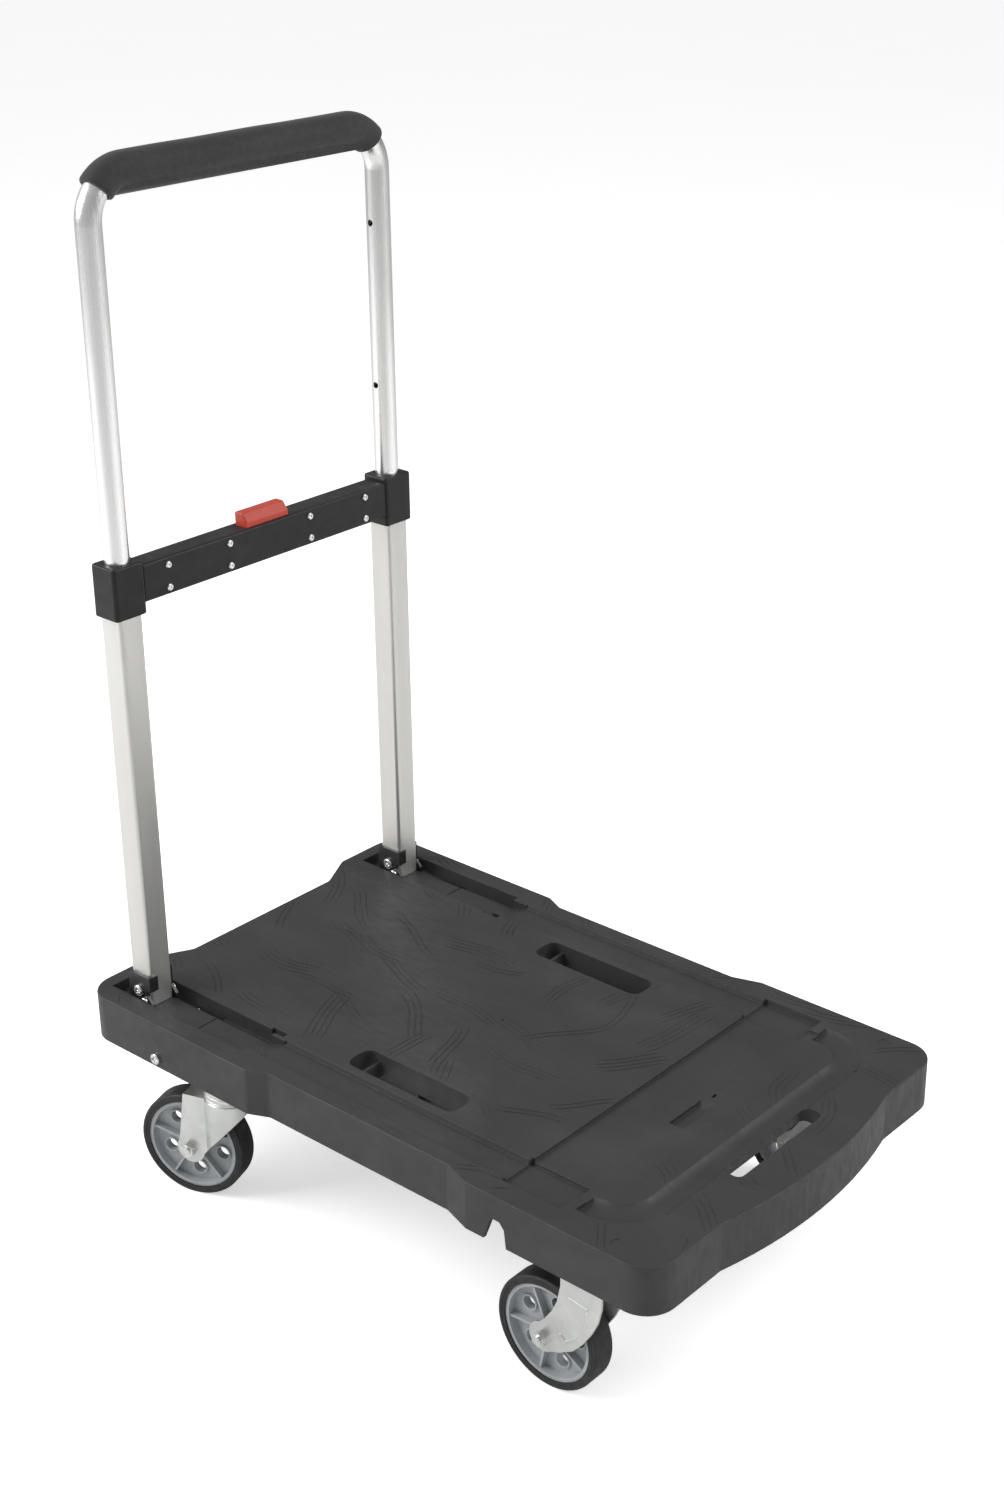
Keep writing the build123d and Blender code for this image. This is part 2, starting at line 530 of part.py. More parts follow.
def square_tube(x, y, z, size, wall, corner):
    """Upright square tube with rounded corners."""
    outer = rounded_block((x - size / 2, x + size / 2), (y - size / 2, y + size / 2), z, corner)
    room = size / 2 - wall
    inner = rounded_block((x - room, x + room), (y - room, y + room), (z[0] - 1, z[1] + 1), corner - wall)
    return outer - inner


def make_leg(side):
    """Square tube from the deck up into the sleeve, drilled for the bolts and the lock pin."""
    y = side * LEG_Y
    z = (FOOT_Z, DECK_TOP + SLEEVE_TOP - BUSH_DEPTH)
    leg = square_tube(LEG_X, y, z, LEG_SIZE, LEG_WALL, LEG_CORNER)
    for x, bolt_z, radius, _ in FOOT_BOLTS:
        leg = leg - rod(radius, (x, y - LEG_SIZE, bolt_z), (x, y + LEG_SIZE, bolt_z))
    pin_z = DECK_TOP + PIN_HEIGHT
    return leg - rod(PIN_RADIUS + SLIDING_GAP, (LEG_X, 0, pin_z), (LEG_X, y, pin_z))


def make_foot_plug(side):
    """Plastic plug in the leg's open lower end, between the bolts and the end."""
    room = HALF_LEG - LEG_WALL
    y = side * LEG_Y
    z = (FOOT_Z, FOOT_Z + 24)
    plug = rounded_block((LEG_X - room, LEG_X + room), (y - room, y + room), z, LEG_CORNER - LEG_WALL)
    for x, bolt_z, radius, _ in FOOT_BOLTS:
        plug = plug - rod(radius, (x, y - LEG_SIZE, bolt_z), (x, y + LEG_SIZE, bolt_z))
    return plug


# ---- sleeves and crossbar -------------------------------------------------------------
def make_sleeve(side):
    """Moulded sleeve over the leg's top, closed round the sliding tube."""
    y = side * LEG_Y
    low, top = DECK_TOP + SLEEVE_BOTTOM, DECK_TOP + SLEEVE_TOP
    x = (LEG_X - SLEEVE_X / 2, LEG_X + SLEEVE_X / 2)
    sleeve = rounded_block(x, (y - SLEEVE_Y / 2, y + SLEEVE_Y / 2), (low, top), SLEEVE_CORNER)
    sleeve = fillet(sleeve.faces().sort_by(Axis.Z)[-1].edges(), 2.2)
    sleeve = fillet(sleeve.faces().sort_by(Axis.Z)[0].edges(), 1.5)
    leg_x, leg_y = (LEG_X - HALF_LEG, LEG_X + HALF_LEG), (y - HALF_LEG, y + HALF_LEG)
    sleeve = sleeve - rounded_block(leg_x, leg_y, (low - 1, top - BUSH_DEPTH), LEG_CORNER)
    sleeve = sleeve - rod(BUSH_RING, (LEG_X, y, top - BUSH_DEPTH - 0.5), (LEG_X, y, top - BUSH_LIP))
    sleeve = sleeve - rod(TUBE_DIAMETER / 2 + MOVING_GAP, (LEG_X, y, top - BUSH_DEPTH), (LEG_X, y, top + 1))
    pin_z = DECK_TOP + PIN_HEIGHT
    return sleeve - rod(PIN_RADIUS + SLIDING_GAP, (LEG_X, 0, pin_z), (LEG_X, y, pin_z))


def make_guide_bush(side):
    """Ring at the top of the sleeve that the tube slides in."""
    y, top = side * LEG_Y, DECK_TOP + SLEEVE_TOP
    ring = rod(BUSH_RING, (LEG_X, y, top - BUSH_DEPTH), (LEG_X, y, top - BUSH_LIP))
    return ring - rod(TUBE_DIAMETER / 2 + SLIDING_GAP, (LEG_X, y, top - BUSH_DEPTH - 1), (LEG_X, y, top))


def rivet_places():
    """Rivet positions as (y, z)."""
    levels = (DECK_TOP + BAR_BOTTOM + RIVET_INSET[0], DECK_TOP + BAR_TOP - RIVET_INSET[1])
    spread = (RIVET_MIDDLE, BAR_HALF - RIVET_END)
    return [(sign * y, z) for y in spread for sign in (-1, 1) for z in levels]


def bar_half(front):
    """Front or back half of the hollow crossbar, open towards the other half."""
    x = (LEG_X, LEG_X + BAR_FRONT) if front else (LEG_X - BAR_BACK, LEG_X)
    z = (DECK_TOP + BAR_BOTTOM, DECK_TOP + BAR_TOP)
    half = block(x, (-BAR_HALF, BAR_HALF), z)
    outer = half.faces().sort_by(Axis.X)[-1 if front else 0]
    half = fillet(outer.edges().filter_by(Axis.Y), 2.5)
    room_x = (x[0] - 1, x[1] - BAR_WALL) if front else (x[0] + BAR_WALL, x[1] + 1)
    room_y = BAR_HALF - BAR_WALL
    half = half - block(room_x, (-room_y, room_y), (z[0] + BAR_WALL, z[1] - BAR_WALL))
    within = block(x, (-BAR_HALF, BAR_HALF), (z[0] + 0.5, z[1] - 0.5))
    for y, level in rivet_places():
        half = half + (rod(RIVET_HEAD, (x[0], y, level), (x[1], y, level)) & within)
        half = half - rod(RIVET_RADIUS, (x[0] - 1, y, level), (x[1] + 1, y, level))
    opening_x = (BUTTON_FRONT - BUTTON_DEPTH - MOVING_GAP, BUTTON_FRONT + MOVING_GAP)
    opening_y = BUTTON_LENGTH / 2 + MOVING_GAP
    opening = block(opening_x, (-opening_y, opening_y), (z[1] - BAR_WALL - 1, z[1] + 1))
    pin_z = DECK_TOP + PIN_HEIGHT
    bore = rod(PIN_RADIUS + SLIDING_GAP, (LEG_X, -BAR_HALF - 1, pin_z), (LEG_X, BAR_HALF + 1, pin_z))
    return half - opening - bore


def make_rivets():
    """Rivets through both halves of the bar, a dimpled dome at each end."""
    rivets = []
    front, back = LEG_X + BAR_FRONT, LEG_X - BAR_BACK
    for y, z in rivet_places():
        rivet = rod(RIVET_RADIUS, (back, y, z), (front, y, z))
        for x, out in ((front, 1), (back, -1)):
            head = rod(RIVET_HEAD, (x, y, z), (x + out * RIVET_HEIGHT, y, z))
            edge = head.edges().sort_by(Axis.X)[-1 if out > 0 else 0]
            dimple = rod(1.3, (x + out * 0.9, y, z), (x + out * 2.6, y, z))
            rivet = rivet + fillet(edge, 1.1) - dimple
        rivets.append(rivet)
    return bundle(rivets)


# ---- release button, lock pins, spring ------------------------------------------------
def cam_slot(side):
    """Cutter for the slanted slot that one lock pin's stud follows."""
    x0, x1 = CAM_X[0] - 1, CAM_X[1] + 1
    y0, z0 = side * STUD_Y, DECK_TOP + PIN_HEIGHT
    y1, z1 = side * (STUD_Y - PIN_TRAVEL), z0 + BUTTON_TRAVEL
    radius = STUD_RADIUS + SLIDING_GAP
    middle = Pos((x0 + x1) / 2, (y0 + y1) / 2, (z0 + z1) / 2)
    tilt = Rot(math.degrees(math.atan2(z1 - z0, y1 - y0)), 0, 0)
    bridge = middle * tilt * Box(x1 - x0, math.hypot(y1 - y0, z1 - z0), 2 * radius)
    return bridge + rod(radius, (x0, y0, z0), (x1, y0, z0)) + rod(radius, (x0, y1, z1), (x1, y1, z1))


def make_button():
    """Push button with a cam plate whose slanted slots draw both lock pins inwards."""
    back, bar, pin_z = BUTTON_FRONT - BUTTON_DEPTH, DECK_TOP + BAR_TOP, DECK_TOP + PIN_HEIGHT
    low, top = bar - BUTTON_SKIRT, bar + BUTTON_RISE
    profile = [(back, low), (BUTTON_FRONT, low), (BUTTON_FRONT, bar + 4.5),
               (BUTTON_FRONT - 6, top), (back, top)]
    cap = side_plate(profile, -BUTTON_LENGTH / 2, BUTTON_LENGTH / 2)
    cap = fillet(cap.edges().filter_by(Axis.Y).group_by(Axis.Z)[-1], 1.2)
    cap = chamfer(cap.faces().sort_by(Axis.Y)[0].edges().group_by(Axis.Z)[-1], 1.0)
    plate = block(CAM_X, (-STUD_Y - 12, STUD_Y + 12), (pin_z - 5, bar - 3))
    plate = plate - block((CAM_X[0] - 1, CAM_X[1] + 1), (-5, 5), (pin_z - 6, bar - 8))
    plate = plate - [cam_slot(-1), cam_slot(1)]
    return cap + plate + rod(SPIGOT_RADIUS, (SPIGOT_X, 0, low), (SPIGOT_X, 0, low - 10))


def make_button_spring():
    """Helical spring round the button's spigot, standing on the bar's floor."""
    low = DECK_TOP + BAR_BOTTOM + BAR_WALL
    high = DECK_TOP + BAR_TOP - BUTTON_SKIRT
    height = high - low - 2 * SPRING_WIRE
    path = Helix(pitch=height / SPRING_TURNS, height=height, radius=SPRING_RADIUS)
    section = Plane(origin=path @ 0, z_dir=path % 0) * Circle(SPRING_WIRE)
    return Pos(SPIGOT_X, 0, low + SPRING_WIRE) * sweep(section, path)


def make_lock_pin(side):
    """Long pin from the cam plate to just short of the tube, with its follower stud."""
    z, stud_y = DECK_TOP + PIN_HEIGHT, side * STUD_Y
    tip = side * (LEG_Y - TUBE_DIAMETER / 2 - PIN_END_GAP)
    pin = rod(PIN_RADIUS, (LEG_X, side * (STUD_Y - 2.5), z), (LEG_X, tip, z))
    return pin + rod(STUD_RADIUS, (LEG_X, stud_y, z), (CAM_X[0] - 0.8, stud_y, z))


# ---- sliding tube, plugs, grip --------------------------------------------------------
def make_handle_tube():
    """Round tube bent into a U, with three lock holes down each leg."""
    path = u_path(lambda along, y: (LEG_X, y, along), DECK_TOP + TUBE_TAIL, DECK_TOP + GRIP_HEIGHT)
    plane = Plane(origin=path @ 0, z_dir=path % 0)
    tube = sweep(plane * Circle(TUBE_DIAMETER / 2), path)
    tube = tube - sweep(plane * Circle(TUBE_DIAMETER / 2 - TUBE_WALL), path)
    for level in LOCK_HOLES:
        z = DECK_TOP + level
        hole = rod(PIN_RADIUS + LOCK_HOLE_ROOM, (LEG_X, LEG_Y - TUBE_DIAMETER, z), (LEG_X, LEG_Y, z))
        tube = tube - mirrored(hole)
    return tube


def make_tube_plug(side):
    """Square glider pressed into the tube's lower end, running inside the leg."""
    y, low = side * LEG_Y, DECK_TOP + TUBE_TAIL
    room = HALF_LEG - LEG_WALL - SLIDING_GAP
    x = (LEG_X - room, LEG_X + room)
    foot = rounded_block(x, (y - room, y + room), (low - 14, low), LEG_CORNER - LEG_WALL)
    return foot + rod(TUBE_DIAMETER / 2 - TUBE_WALL, (LEG_X, y, low), (LEG_X, y, low + 18))


def make_grip():
    """Foam grip over the top run and part of each bend."""
    top = DECK_TOP + GRIP_HEIGHT
    half = LEG_Y - TUBE_BEND
    angle = math.radians(GRIP_BEND_ANGLE)

    def on_bend(side, a):
        return (LEG_X, side * (half + TUBE_BEND * math.sin(a)), top - TUBE_BEND + TUBE_BEND * math.cos(a))

    path = Wire([
        Edge.make_three_point_arc(on_bend(-1, angle), on_bend(-1, angle / 2), (LEG_X, -half, top)),
        Edge.make_line((LEG_X, -half, top), (LEG_X, half, top)),
        Edge.make_three_point_arc((LEG_X, half, top), on_bend(1, angle / 2), on_bend(1, angle)),
    ])
    plane = Plane(origin=path @ 0, z_dir=path % 0)
    return sweep(plane * Circle(GRIP_DIAMETER / 2), path) - sweep(plane * Circle(TUBE_DIAMETER / 2), path)


# ---- wheels ---------------------------------------------------------------------------
def place_wheel(shape, centre, yaw):
    """Move something built about a wheel's own axle to where that wheel stands."""
    return Pos(*centre) * Rot(0, 0, yaw) * shape


def hub_at_origin():
    """Spoked hub with its axis along Y: rim, web with round windows, ribs and boss."""
    half = WHEEL_WIDTH / 2
    rim = rod(HUB_RADIUS, (0, -half + 1.5, 0), (0, half - 1.5, 0))
    rim = rim - rod(HUB_RADIUS - 3.5, (0, -half, 0), (0, half, 0))
    web = rod(HUB_RADIUS - 2, (0, -2, 0), (0, 2, 0))
    boss = rod(BOSS_RADIUS, (0, -half + 0.5, 0), (0, half - 0.5, 0))
    boss = fillet(boss.edges().filter_by(GeomType.CIRCLE), 0.8)
    hub = rim + web + boss
    for k in range(5):
        turn = Rot(0, 72 * k, 0)
        hub = hub + turn * block((10, HUB_RADIUS - 2), (-half + 3, half - 3), (-1.1, 1.1))
        window = Rot(0, 72 * k + 36, 0) * Pos(HUB_WINDOW_PLACE, 0, 0) * Rot(90, 0, 0)
        hub = hub + window * Cylinder(HUB_WINDOW_RADIUS + 1.6, 7.6)
        hub = hub - window * Cylinder(HUB_WINDOW_RADIUS, 3 * half)
    return hub - rod(BUSH_RADIUS, (0, -half - 1, 0), (0, half + 1, 0))


def tyre_at_origin():
    """Solid rubber ring with rounded shoulders."""
    half = WHEEL_WIDTH / 2
    tyre = rod(WHEEL_RADIUS, (0, -half, 0), (0, half, 0))
    tyre = fillet(tyre.edges().filter_by(GeomType.CIRCLE), 2.6)
    return tyre - rod(HUB_RADIUS, (0, -half - 1, 0), (0, half + 1, 0))


def bush_at_origin():
    """Plain bearing pressed in the hub and running on the axle."""
    half = WHEEL_WIDTH / 2 + 0.4
    bore = rod(AXLE_BOLT_RADIUS + RUNNING_FIT, (0, -half - 1, 0), (0, half + 1, 0))
    return rod(BUSH_RADIUS, (0, -half, 0), (0, half, 0)) - bore


def axle_at_origin():
    """Axle bolt through both fork plates, with a hexagon head and a nut."""
    face = FORK_OUTER
    bolt = rod(AXLE_BOLT_RADIUS, (0, -face - 7.5, 0), (0, face, 0))
    head = Plane(origin=(0, face, 0), z_dir=(0, 1, 0)) * extrude(RegularPolygon(7.2, 6), 5)
    nut = Plane(origin=(0, -face, 0), z_dir=(0, -1, 0)) * extrude(RegularPolygon(7.2, 6), 6)
    return bolt + head + nut


# ---- forks ----------------------------------------------------------------------------
def fork_plates(outline):
    """Two side plates with an outline in (x, z), joined by the arc of the axle end."""
    plates = []
    for side in (-1, 1):
        low, high = sorted((side * FORK_GAP / 2, side * FORK_OUTER))
        plate = side_plate(outline, low, high) + rod(FORK_END_RADIUS, (0, low, 0), (0, high, 0))
        plates.append(plate - rod(AXLE_BOLT_RADIUS, (0, low - 1, 0), (0, high + 1, 0)))
    return plates


def fork_plan(half_width, nose_radius):
    """Plan of the swivel fork: straight legs that run into a round nose about the swivel axis."""
    straight = Pos(REAR_TRAIL / 2 - 10, 0) * Rectangle(REAR_TRAIL + 20, 2 * half_width)
    return straight + Pos(REAR_TRAIL, 0) * Circle(nose_radius)


def swivel_fork_at_origin():
    """Swivel fork about its axle: flat legs swept back into a closed round crown."""
    top = CASTER_MOUNT - CASTER_PLATE - WHEEL_RADIUS - RACE_STACK
    nose = math.hypot(REAR_TRAIL - FORK_FOLD, FORK_OUTER)
    low = -FORK_END_RADIUS - 2
    outer = Pos(0, 0, low) * extrude(fork_plan(FORK_OUTER, nose), top - low)
    hollow = top - low - FORK_PLATE + 1
    inner = Pos(0, 0, low - 1) * extrude(fork_plan(FORK_GAP / 2, nose - FORK_PLATE), hollow)
    front = REAR_TRAIL + nose + 1
    side = [(-12.5, -3), (-8.5, 16), (-3, top), (front, top), (front, top - 5), (25, 9), (12.5, -7)]
    window = side_plate(side, -nose - 1, nose + 1)
    window = window + rod(FORK_END_RADIUS, (1.5, -nose - 1, -1), (1.5, nose + 1, -1))
    fork = (outer - inner) & window
    fork = fork - rod(AXLE_BOLT_RADIUS, (0, -FORK_OUTER - 1, 0), (0, FORK_OUTER + 1, 0))
    race = rod(RACE_RADIUS, (REAR_TRAIL, 0, top - 1), (REAR_TRAIL, 0, top + 12.6))
    race = fillet(race.edges().sort_by(Axis.Z)[-1], 2)
    for level in (3, 7.5):
        ring = Pos(REAR_TRAIL, 0, top + level) * Torus(RACE_RADIUS + 0.6, 1.0)
        race = race - ring
    bore = rod(KINGPIN_RADIUS + RUNNING_FIT, (REAR_TRAIL, 0, top - 9), (REAR_TRAIL, 0, top + 14))
    return fork + race - bore


def fork_emboss(side):
    """Raised line that follows the rigid fork's curve, and a short bar above it."""
    y = side * (FORK_OUTER - 0.2)
    heel_start, start, end = (19.2, y, 11.8), (24.5, y, 7.5), (47.2, y, 46)
    arc = Edge.make_three_point_arc(start, (40, y, 23.5), end)
    bead = sweep(Plane(origin=arc @ 0, z_dir=arc % 0) * Circle(EMBOSS_RADIUS), arc)
    heel = rod(EMBOSS_RADIUS, heel_start, start)
    bar = rod(EMBOSS_RADIUS, (27.6, y, 52.8), (47.2, y, 49.9))
    return [bead, heel, bar] + [Pos(*point) * Sphere(EMBOSS_RADIUS) for point in (heel_start, start, end)]


def rigid_fork_at_origin():
    """Fixed fork about its axle: wide swept plates folded from one top flange."""
    top = CASTER_MOUNT - WHEEL_RADIUS
    plate = [(-13, 1), (-6, 11), (2, 19), (10, 31), (15.5, 43), (19, 60), (19.5, top - 1), (61.5, top - 1),
             (61, 56), (57, 40), (51, 27), (42, 13), (32, 1.5), (18, -7), (8, -11)]
    flange_x = (REAR_TRAIL - FLANGE_LENGTH / 2, REAR_TRAIL + FLANGE_LENGTH / 2)
    flange_y = (-FORK_OUTER - FLANGE_MARGIN[0], FORK_OUTER + FLANGE_MARGIN[1])
    flange = block(flange_x, flange_y, (top - CASTER_PLATE, top))
    return flange + fork_plates(plate) + fork_emboss(-1) + fork_emboss(1)


def caster_plate_at_origin():
    """Mounting plate and fixed upper race, about the swivel axis at pad level."""
    outline = RectangleRounded(PLATE_LENGTH, PLATE_WIDTH, 5)
    plate = Pos(0, 0, -CASTER_PLATE) * extrude(outline, CASTER_PLATE)
    cup_top = -CASTER_PLATE
    cup = rod(RACE_RADIUS + 2, (0, 0, cup_top), (0, 0, cup_top - 11))
    cup = fillet(cup.edges().sort_by(Axis.Z)[0], 3)
    plate = plate + cup
    plate = plate - rod(RACE_RADIUS - 4, (0, 0, cup_top - 12), (0, 0, cup_top - 4))
    return plate - rod(KINGPIN_RADIUS, (0, 0, 1), (0, 0, -30))


def kingpin_at_origin():
    """Rivet through both races, with a peened head under the fork."""
    low = -CASTER_PLATE - RACE_STACK - FORK_PLATE
    pin = rod(KINGPIN_RADIUS, (0, 0, -0.5), (0, 0, low - 0.3))
    return pin + rod(8.5, (0, 0, low - 0.3), (0, 0, low - 1.6))


def screw_places():
    """Every caster screw as (x, y)."""
    front_x = FRONT_WHEEL_X + REAR_TRAIL
    outer = FRONT_WHEEL_Y + FORK_OUTER + FLANGE_MARGIN[0] - FLANGE_SCREW[1]
    inner = FRONT_WHEEL_Y - FORK_OUTER - FLANGE_MARGIN[1] + FLANGE_SCREW[2]
    places = []
    for end in (-1, 1):
        for y in (REAR_PIVOT_Y - PLATE_SCREW[1], REAR_PIVOT_Y + PLATE_SCREW[1]):
            places.append((REAR_PIVOT_X + end * PLATE_SCREW[0], y))
        for y in (inner, outer):
            places.append((front_x + end * FLANGE_SCREW[0], y))
    return places + [(x, -y) for x, y in places]


def make_caster_screws():
    screws = []
    for x, y in screw_places():
        under = CASTER_MOUNT - CASTER_PLATE
        shank = rod(SCREW_RADIUS, (x, y, under), (x, y, under + SCREW_LENGTH))
        head = rod(SCREW_HEAD, (x, y, under), (x, y, under - 3))
        screws.append(shank + fillet(head.edges().sort_by(Axis.Z)[0], 1.5))
    return bundle(screws)


def drill_screws(shape):
    """Holes for the caster screws, through plates and into the deck's pads."""
    low, high = CASTER_MOUNT - 2 * CASTER_PLATE, CASTER_MOUNT - CASTER_PLATE + SCREW_LENGTH
    for x, y in screw_places():
        shape = shape - rod(SCREW_RADIUS, (x, y, low), (x, y, high))
    return shape


def rear_wheel_centre(side):
    """Centre of a rear wheel, trailing its swivel axis at the rest yaw."""
    yaw = math.radians(REAR_REST_YAW)
    x = REAR_PIVOT_X - REAR_TRAIL * math.cos(yaw)
    return (x, side * REAR_PIVOT_Y - REAR_TRAIL * math.sin(yaw), WHEEL_RADIUS)


def wheel_places():
    """Wheel centre and yaw by name."""
    places = {}
    for name, side in SIDES.items():
        places["front_" + name] = ((FRONT_WHEEL_X, side * FRONT_WHEEL_Y, WHEEL_RADIUS), 0.0)
        places["rear_" + name] = (rear_wheel_centre(side), REAR_REST_YAW)
    return places


# ---- assembly -------------------------------------------------------------------------
def build_parts():
    """Every node of the cart by name, in its place."""
    parts = {"deck": make_deck(), "caster_screws": make_caster_screws()}
    for name, side in SIDES.items():
        parts["fold_axle_" + name] = make_fold_axle(side)
        parts["fold_nut_" + name] = make_fold_nut(side)
        parts["arm_outer_" + name] = make_arm(side, False)
        parts["arm_inner_" + name] = make_arm(side, True)
        parts["foot_bolts_" + name] = make_foot_bolts(side)
        parts["leg_" + name] = make_leg(side)
        parts["foot_plug_" + name] = make_foot_plug(side)
        parts["sleeve_" + name] = make_sleeve(side)
        parts["guide_bush_" + name] = make_guide_bush(side)
        parts["lock_pin_" + name] = make_lock_pin(side)
        parts["tube_plug_" + name] = make_tube_plug(side)
        pivot = Pos(REAR_PIVOT_X, side * REAR_PIVOT_Y, CASTER_MOUNT)
        parts["caster_plate_" + name] = drill_screws(pivot * caster_plate_at_origin())
        parts["kingpin_" + name] = pivot * kingpin_at_origin()
        front = Pos(FRONT_WHEEL_X, side * FRONT_WHEEL_Y, WHEEL_RADIUS)
        rigid = rigid_fork_at_origin() if side < 0 else mirror(rigid_fork_at_origin(), Plane.XZ)
        parts["fork_front_" + name] = drill_screws(front * rigid)
        parts["fork_rear_" + name] = place_wheel(
            swivel_fork_at_origin(), rear_wheel_centre(side), REAR_REST_YAW)
    parts["crossbar_front"] = bar_half(True)
    parts["crossbar_back"] = bar_half(False)
    parts["crossbar_rivets"] = make_rivets()
    parts["release_button"] = make_button()
    parts["button_spring"] = make_button_spring()
    parts["handle_tube"] = make_handle_tube()
    parts["grip"] = make_grip()
    for name, (centre, yaw) in wheel_places().items():
        turned = Rot(0, HUB_TURN[name.split("_")[0]], 0) * hub_at_origin()
        parts["hub_" + name] = place_wheel(turned, centre, yaw)
        parts["tyre_" + name] = place_wheel(tyre_at_origin(), centre, yaw)
        parts["bush_" + name] = place_wheel(bush_at_origin(), centre, yaw)
        parts["axle_" + name] = place_wheel(axle_at_origin(), centre, yaw)
    return parts


def main():
    os.makedirs("parts", exist_ok=True)
    for node, shape in build_parts().items():
        export_step(shape, f"parts/{node}.step")


main()
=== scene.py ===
import json
import math
import random

import bpy
from mathutils import Matrix, Vector, noise
from mathutils.bvhtree import BVHTree


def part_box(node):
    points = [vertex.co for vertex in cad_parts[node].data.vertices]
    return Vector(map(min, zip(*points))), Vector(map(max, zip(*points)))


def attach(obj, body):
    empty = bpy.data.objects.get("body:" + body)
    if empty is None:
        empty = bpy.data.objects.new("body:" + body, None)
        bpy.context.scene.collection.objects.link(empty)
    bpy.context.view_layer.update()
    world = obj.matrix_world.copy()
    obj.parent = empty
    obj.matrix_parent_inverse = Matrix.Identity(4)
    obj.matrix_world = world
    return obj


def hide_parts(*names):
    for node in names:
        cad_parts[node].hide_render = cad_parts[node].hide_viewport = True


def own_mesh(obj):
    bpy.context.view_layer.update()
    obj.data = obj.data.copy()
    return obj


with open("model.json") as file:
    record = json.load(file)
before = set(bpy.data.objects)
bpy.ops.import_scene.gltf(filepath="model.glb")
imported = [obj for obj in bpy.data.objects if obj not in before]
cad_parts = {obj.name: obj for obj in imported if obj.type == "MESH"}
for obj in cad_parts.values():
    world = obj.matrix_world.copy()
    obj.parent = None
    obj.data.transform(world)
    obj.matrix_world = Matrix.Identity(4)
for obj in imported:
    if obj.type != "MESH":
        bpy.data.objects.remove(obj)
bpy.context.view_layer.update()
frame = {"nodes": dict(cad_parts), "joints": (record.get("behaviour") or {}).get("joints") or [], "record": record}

# The cart's looks, light and camera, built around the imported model. Lengths are in metres.

JOINTS = {joint["name"]: joint for joint in frame["joints"]}

# ---- foam grip: sizes ------------------------------------------------------------------
TUBE_RADIUS = 0.011
TUBE_BEND = 0.039            # centre-line radius of the tube's bends
GRIP_BEND_ANGLE = math.radians(48)           # foam's reach round each bend
GRIP_EDGE = 0.0022           # rounding of the foam's cut ends
EDGE_STEPS = 5
LIP_GAP = 0.0002             # foam's cut face clear of the tube, at its inner edge
LIP_WIDTH = 0.0009
LIP_DEPTH = 0.7              # inner edge set back, as a share of the rounding
GRIP_RINGS = 150
GRIP_SIDES = 72
FOAM_INSET = 0.00035         # foam's mean surface inside its CAD solid
FOAM_SWAY = 0.0003           # slow unevenness of the foam's skin
SWAY_ALONG = 22              # noise scale along the foam, per metre
SWAY_AROUND = 1.3
CREASE_DEPTH = 0.0005        # creases on the inside of the bends
CREASE_PITCH = 900           # radians of crease per metre

# ---- embossed waves: sizes -------------------------------------------------------------
SEED = 7
CELL = 0.062                 # spacing of the groups
CELL_MARGIN = 0.2            # a group's centre stays this share of a cell from its edges
FLOW_SCALE = 4               # how fast the groups' direction drifts over the deck
FLOW_LEVEL = 3.1
ANGLE_SPREAD = 0.35          # radians
LINE_COUNTS = (2, 3, 3, 4)
LINE_LENGTHS = (0.045, 0.095)
LINE_SWINGS = (0.0015, 0.0045)
LINE_TRIMS = (0.8, 1.0)      # each line's share of its group's length
WAVE_STEPS = 26
WAVE_TURNS = 0.7             # turns of the wave along one line
LEAST_POINTS = 7             # a stretch this short is left out
RIDGE_HEIGHT = 0.0004
RIDGE_WIDTH = 0.0016
RIDGE_CREST = 0.4            # crest's share of the ridge's width
RIDGE_SUNK = 0.0002          # ridge edges below the load face
RIDGE_SPACING = 0.0056
TAPER_STEPS = 4
END_SHARE = 0.4              # share of the width left at a ridge's ends
PROBE_REACH = 0.002          # load face must be whole this far round a point
PROBE_HEIGHT = 0.05
FLAT_WITHIN = 0.0001

# ---- tyres: sizes ----------------------------------------------------------------------
TYRE_HALF = 0.0115
RING_DEPTH = 0.0042          # sidewall ring in from the tread
RING_WIDTH = 0.0005
RING_RISE = 0.0004
RING_SIDES = 96
RING_SECTION = 8

# ---- camera and light ------------------------------------------------------------------
CAMERA_TARGET = Vector((-0.0299, 0.1485, 0.3988))
CAMERA_AZIMUTH = math.radians(39.27)
CAMERA_ELEVATION = math.radians(24.37)
CAMERA_ROLL = math.radians(0.31)
CAMERA_DISTANCE = 2.0824
CAMERA_LENS = 54.69
CAMERA_SHIFT = (-0.058, -0.0062)
LIGHT_SIDE = Vector((-0.62, -0.74, 0.26))    # the studio is brightest towards here
LIGHT_MEAN = 0.38
LIGHT_SWING = 0.14
PAPER_GLOW = 0.55            # lift that keeps the paper white to the camera
FLOOR_HALF = 15.0

# ---- shading ---------------------------------------------------------------------------
NOISE_LOW, NOISE_HIGH = 0.3, 0.7             # most of a noise texture lies between these
BEVEL_SAMPLES = 4


# ---- materials -------------------------------------------------------------------------
def grey(level):
    return (level, level, level)


